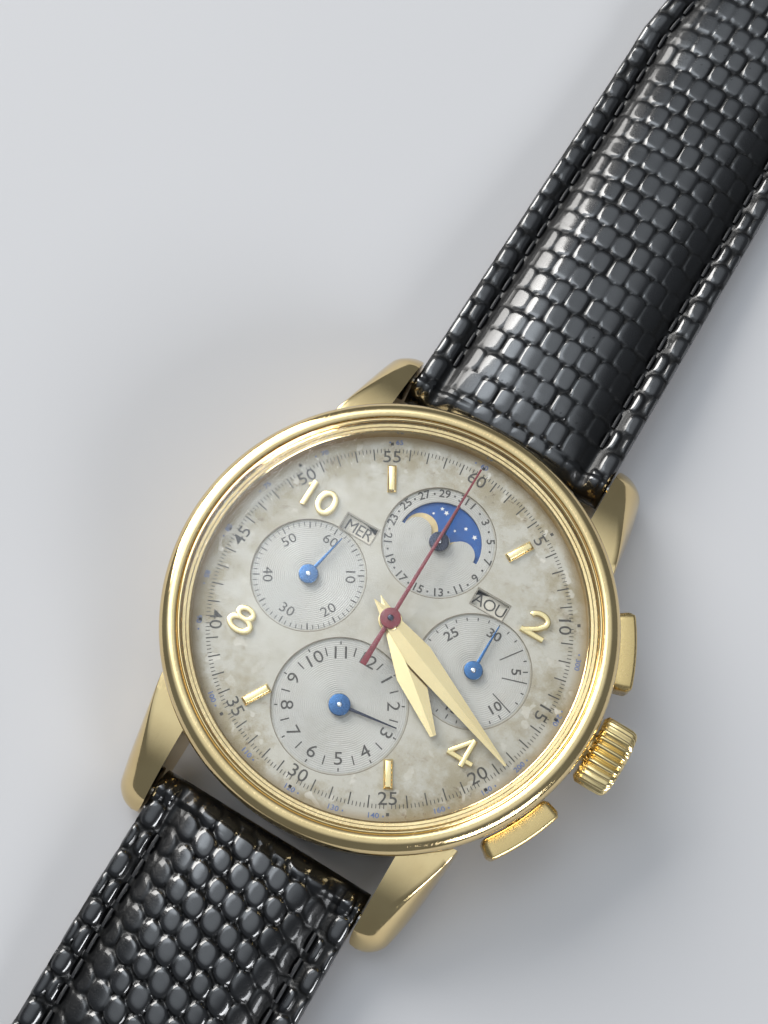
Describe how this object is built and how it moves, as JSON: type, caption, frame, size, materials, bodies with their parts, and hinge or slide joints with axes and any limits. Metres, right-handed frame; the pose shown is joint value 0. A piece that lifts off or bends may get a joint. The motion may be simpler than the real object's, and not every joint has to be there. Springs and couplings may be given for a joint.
{
  "type": "chronograph wristwatch",
  "caption": "Round chronograph wristwatch with triple calendar, moon phase, rectangular pushers, fluted crown and a padded lizard-grain leather strap with a pin buckle, laid open.",
  "frame": {"origin": "centre of the case back's flat face", "axes": "+Z out of the dial, +Y towards 12 o'clock and the buckle half of the strap, +X towards 3 o'clock and the crown"},
  "size_m": [0.0393, 0.2407, 0.0124],
  "materials": {
    "case_gold": "polished yellow gold",
    "crystal_acrylic": "clear domed acrylic",
    "dial_silver": "warm silvered, aged",
    "marker_gold": "polished gold",
    "hand_gold": "polished gold",
    "hand_blue": "blued steel",
    "hand_red": "red enamel",
    "movement_brass": "gilt brass",
    "movement_plate": "rhodium plated",
    "movement_steel": "polished steel",
    "screw_blue": "blued steel",
    "jewel_red": "ruby",
    "seal_rubber": "matt",
    "disc_blue": "blue enamel with pale moons",
    "disc_white": "white enamel",
    "strap_leather": "glossy black lizard grain"
  },
  "bodies": {
    "case": {"mid_case": "case_gold", "bezel": "case_gold", "crystal": "crystal_acrylic", "case_back": "case_gold", "case_tubes": "case_gold", "spring_bars": "movement_steel", "movement_ring": "movement_brass", "dial": "dial_silver", "hour_markers": "marker_gold", "main_plate": "movement_plate", "barrel_bridge": "movement_plate", "train_bridge": "movement_plate", "balance_cock": "movement_plate", "chronograph_bridge": "movement_plate", "movement_screws": "screw_blue", "jewels": "jewel_red"},
    "crown_seal": {"crown_seal": "seal_rubber"},
    "crown": {"crown": "case_gold", "winding_stem": "movement_steel"},
    "winding_pinion": {"winding_pinion": "movement_steel"},
    "crown_wheel": {"crown_wheel": "movement_steel"},
    "barrel_arbor": {"ratchet_wheel": "movement_steel"},
    "mainspring_barrel": {"mainspring_barrel": "movement_brass"},
    "minute": {"center_wheel": "movement_brass", "minute_hand": "hand_gold"},
    "motion_work": {"minute_wheel": "movement_brass"},
    "hour": {"hour_wheel": "movement_brass", "hour_hand": "hand_gold"},
    "third_wheel": {"third_wheel": "movement_brass"},
    "running_seconds": {"fourth_wheel": "movement_brass", "small_seconds_hand": "hand_blue"},
    "escape_wheel": {"escape_wheel": "movement_steel"},
    "pallet_fork": {"pallet_fork": "movement_steel"},
    "balance": {"balance_wheel": "movement_brass", "hairspring": "screw_blue"},
    "chronograph_runner": {"chronograph_wheel": "movement_brass", "chronograph_seconds_hand": "hand_red"},
    "minute_recorder": {"minute_recorder_wheel": "movement_brass", "minute_recorder_hand": "hand_blue"},
    "hour_recorder": {"hour_recorder_wheel": "movement_brass", "hour_recorder_hand": "hand_blue"},
    "date": {"date_wheel": "movement_brass", "date_hand": "hand_blue"},
    "moon_phase": {"moon_disc": "disc_blue"},
    "day": {"day_disc": "disc_white"},
    "month": {"month_disc": "disc_white"},
    "column_wheel": {"column_wheel": "movement_steel"},
    "coupling_lever": {"coupling_lever": "movement_steel"},
    "reset_hammer": {"reset_hammer": "movement_steel"},
    "start_pusher": {"start_pusher": "case_gold"},
    "reset_pusher": {"reset_pusher": "case_gold"},
    "date_corrector": {"date_corrector": "case_gold"},
    "day_corrector": {"day_corrector": "case_gold"},
    "moon_corrector": {"moon_corrector": "case_gold"},
    "upper_strap": {"upper_strap": "strap_leather", "fixed_keeper": "strap_leather"},
    "sliding_keeper": {"sliding_keeper": "strap_leather"},
    "lower_strap": {"lower_strap": "strap_leather"},
    "buckle_frame": {"buckle_frame": "case_gold"},
    "buckle_tongue": {"buckle_tongue": "case_gold"}
  },
  "joints": [
    {"name": "crown_pull", "type": "slide", "parent": "case", "child": "crown_seal", "axis": [1, 0, 0], "range_m": [0, 0.0012]},
    {"name": "crown_turn", "type": "hinge", "parent": "crown_seal", "child": "crown", "pos_m": [0.02, 0, 0.0051], "axis": [1, 0, 0], "continuous": true},
    {"name": "winding_pinion_turn", "type": "hinge", "parent": "case", "child": "winding_pinion", "pos_m": [0.01, 0, 0.0051], "axis": [1, 0, 0], "continuous": true},
    {"name": "crown_wheel_turn", "type": "hinge", "parent": "case", "child": "crown_wheel", "pos_m": [0.0093, -0.0022, 0.0036], "axis": [0, 0, -1], "continuous": true},
    {"name": "barrel_arbor_turn", "type": "hinge", "parent": "case", "child": "barrel_arbor", "pos_m": [0.0035, -0.00606, 0.0036], "axis": [0, 0, -1], "continuous": true},
    {"name": "minute_hand_turn", "type": "hinge", "parent": "case", "child": "minute", "pos_m": [0, 0, 0.0088], "axis": [0, 0, -1], "continuous": true},
    {"name": "barrel_turn", "type": "hinge", "parent": "case", "child": "mainspring_barrel", "pos_m": [0.0035, -0.00606, 0.004], "axis": [0, 0, -1], "continuous": true},
    {"name": "motion_work_turn", "type": "hinge", "parent": "case", "child": "motion_work", "pos_m": [0.0017, -0.00202, 0.0063], "axis": [0, 0, -1], "continuous": true},
    {"name": "hour_hand_turn", "type": "hinge", "parent": "case", "child": "hour", "pos_m": [0, 0, 0.0085], "axis": [0, 0, -1], "continuous": true},
    {"name": "third_wheel_turn", "type": "hinge", "parent": "case", "child": "third_wheel", "pos_m": [-0.00441, -0.00349, 0.0035], "axis": [0, 0, -1], "continuous": true},
    {"name": "running_seconds_turn", "type": "hinge", "parent": "case", "child": "running_seconds", "pos_m": [-0.00752, 0, 0.008], "axis": [0, 0, -1], "continuous": true},
    {"name": "escape_wheel_turn", "type": "hinge", "parent": "case", "child": "escape_wheel", "pos_m": [-0.0056, 0.00333, 0.004], "axis": [0, 0, -1], "continuous": true},
    {"name": "pallet_fork_rock", "type": "hinge", "parent": "case", "child": "pallet_fork", "pos_m": [-0.00475, 0.00585, 0.004], "axis": [0, 0, -1], "range_deg": [-4, 4]},
    {"name": "balance_swing", "type": "hinge", "parent": "case", "child": "balance", "pos_m": [-0.0036, 0.0091, 0.0035], "axis": [0, 0, -1], "range_deg": [-220, 220], "stiffness_Nm_per_rad": 0.0000002, "deforming": ["hairspring"]},
    {"name": "chronograph_seconds_turn", "type": "hinge", "parent": "case", "child": "chronograph_runner", "pos_m": [0, 0, 0.0092], "axis": [0, 0, -1], "continuous": true},
    {"name": "minute_recorder_turn", "type": "hinge", "parent": "case", "child": "minute_recorder", "pos_m": [0.00752, 0, 0.008], "axis": [0, 0, -1], "continuous": true},
    {"name": "hour_recorder_turn", "type": "hinge", "parent": "case", "child": "hour_recorder", "pos_m": [0, -0.00764, 0.008], "axis": [0, 0, -1], "continuous": true},
    {"name": "date_turn", "type": "hinge", "parent": "case", "child": "date", "pos_m": [0, 0.00764, 0.008], "axis": [0, 0, -1], "continuous": true},
    {"name": "moon_phase_turn", "type": "hinge", "parent": "case", "child": "moon_phase", "pos_m": [0, 0.00764, 0.0072], "axis": [0, 0, -1], "continuous": true},
    {"name": "day_turn", "type": "hinge", "parent": "case", "child": "day", "pos_m": [-0.00752, 0, 0.007], "axis": [0, 0, -1], "continuous": true},
    {"name": "month_turn", "type": "hinge", "parent": "case", "child": "month", "pos_m": [0.00752, 0, 0.007], "axis": [0, 0, -1], "continuous": true},
    {"name": "column_wheel_turn", "type": "hinge", "parent": "case", "child": "column_wheel", "pos_m": [0.0046, 0.009, 0.0018], "axis": [0, 0, -1], "continuous": true},
    {"name": "coupling_lever_swing", "type": "hinge", "parent": "case", "child": "coupling_lever", "pos_m": [-0.0086, 0.005, 0.0022], "axis": [0, 0, -1], "range_deg": [0, 2.5]},
    {"name": "reset_hammer_swing", "type": "hinge", "parent": "case", "child": "reset_hammer", "pos_m": [0.0034, -0.0064, 0.0022], "axis": [0, 0, -1], "range_deg": [0, 5]},
    {"name": "start_push", "type": "slide", "parent": "case", "child": "start_pusher", "axis": [0.9063, 0.4226, 0], "range_m": [-0.0009, 0], "stiffness_N_per_m": 2000},
    {"name": "reset_push", "type": "slide", "parent": "case", "child": "reset_pusher", "axis": [0.891, -0.454, 0], "range_m": [-0.0009, 0], "stiffness_N_per_m": 2000},
    {"name": "date_correct", "type": "slide", "parent": "case", "child": "date_corrector", "axis": [-0.8829, 0.4695, 0], "range_m": [-0.0004, 0], "stiffness_N_per_m": 1000},
    {"name": "day_correct", "type": "slide", "parent": "case", "child": "day_corrector", "axis": [-1, 0, 0], "range_m": [-0.0004, 0], "stiffness_N_per_m": 1000},
    {"name": "moon_correct", "type": "slide", "parent": "case", "child": "moon_corrector", "axis": [-0.8829, -0.4695, 0], "range_m": [-0.0004, 0], "stiffness_N_per_m": 1000},
    {"name": "upper_strap_swing", "type": "hinge", "parent": "case", "child": "upper_strap", "pos_m": [0, 0.0203, 0.003], "axis": [1, 0, 0], "range_deg": [-75, 65]},
    {"name": "keeper_slide", "type": "slide", "parent": "upper_strap", "child": "sliding_keeper", "axis": [0, 1, 0], "range_m": [-0.006, 0.0025]},
    {"name": "buckle_swing", "type": "hinge", "parent": "upper_strap", "child": "buckle_frame", "pos_m": [0, 0.0953, 0.00225], "axis": [1, 0, 0], "range_deg": [-70, 45]},
    {"name": "tongue_swing", "type": "hinge", "parent": "buckle_frame", "child": "buckle_tongue", "pos_m": [0, 0.0953, 0.00225], "axis": [1, 0, 0], "range_deg": [0, 70]},
    {"name": "lower_strap_swing", "type": "hinge", "parent": "case", "child": "lower_strap", "pos_m": [0, -0.0203, 0.003], "axis": [-1, 0, 0], "range_deg": [-75, 65]}
  ],
  "couplings": [
    {"joint": "winding_pinion_turn", "follows": "crown_turn", "ratio": 1},
    {"joint": "crown_wheel_turn", "follows": "crown_turn", "ratio": 0.44444},
    {"joint": "barrel_arbor_turn", "follows": "crown_turn", "ratio": -0.26667},
    {"joint": "barrel_turn", "follows": "minute_hand_turn", "ratio": -0.125},
    {"joint": "motion_work_turn", "follows": "minute_hand_turn", "ratio": -0.33333},
    {"joint": "hour_hand_turn", "follows": "minute_hand_turn", "ratio": 0.083333},
    {"joint": "third_wheel_turn", "follows": "minute_hand_turn", "ratio": -8},
    {"joint": "running_seconds_turn", "follows": "minute_hand_turn", "ratio": 60},
    {"joint": "minute_recorder_turn", "follows": "chronograph_seconds_turn", "ratio": 0.033333},
    {"joint": "hour_recorder_turn", "follows": "chronograph_seconds_turn", "ratio": 0.0013889},
    {"joint": "moon_phase_turn", "follows": "date_turn", "ratio": 0.52542},
    {"joint": "day_turn", "follows": "date_turn", "ratio": 4.4286},
    {"joint": "month_turn", "follows": "date_turn", "ratio": 0.083333}
  ]
}
